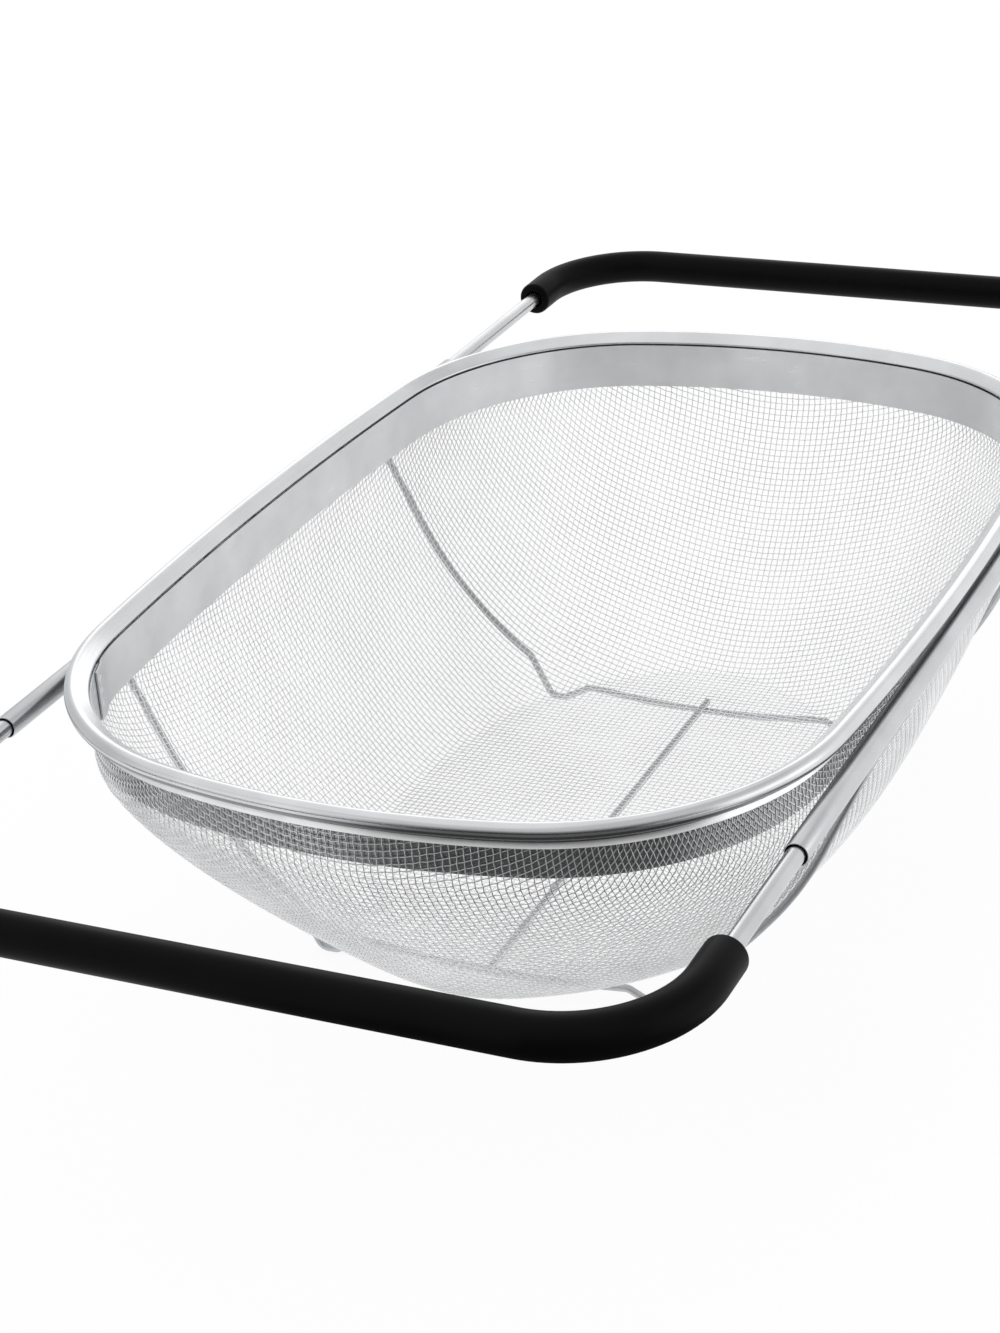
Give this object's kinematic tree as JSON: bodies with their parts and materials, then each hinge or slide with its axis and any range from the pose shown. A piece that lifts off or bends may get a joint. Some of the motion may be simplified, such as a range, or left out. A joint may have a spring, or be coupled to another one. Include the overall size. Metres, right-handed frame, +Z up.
{
  "type": "over-the-sink colander",
  "caption": "Fine-mesh steel basket in a rolled oval rim, with sliding U-shaped handles that draw out to rest across a sink.",
  "frame": {"origin": "middle of the footprint with the handles as stored, on the surface that the four wire feet stand on", "axes": "+X along the basket towards the right handle, +Y across it to the back, +Z up"},
  "size_m": [0.5246, 0.2496, 0.1097],
  "materials": {
    "rim_steel": "polished",
    "band_steel": "satin",
    "woven_steel": "fine woven wire",
    "tube_steel": "satin",
    "wire_steel": "satin",
    "rod_steel": "polished",
    "grip_rubber": "smooth satin",
    "bush_plastic": "moulded"
  },
  "bodies": {
    "basket": {"rim_hoop": "rim_steel", "inner_band": "band_steel", "basket_mesh": "woven_steel", "front_guide_tube": "tube_steel", "back_guide_tube": "tube_steel", "left_base_wire": "wire_steel", "right_base_wire": "wire_steel", "long_base_wire": "wire_steel"},
    "left_handle": {"left_handle_rod": "rod_steel", "left_handle_grip": "grip_rubber", "left_front_rod_bush": "bush_plastic", "left_back_rod_bush": "bush_plastic"},
    "right_handle": {"right_handle_rod": "rod_steel", "right_handle_grip": "grip_rubber", "right_front_rod_bush": "bush_plastic", "right_back_rod_bush": "bush_plastic"}
  },
  "joints": [
    {"name": "left_handle_slide", "type": "slide", "parent": "basket", "child": "left_handle", "axis": [-1, 0, 0], "range_m": [-0.048, 0.0435]},
    {"name": "right_handle_slide", "type": "slide", "parent": "basket", "child": "right_handle", "axis": [1, 0, 0], "range_m": [-0.0745, 0.017]}
  ]
}
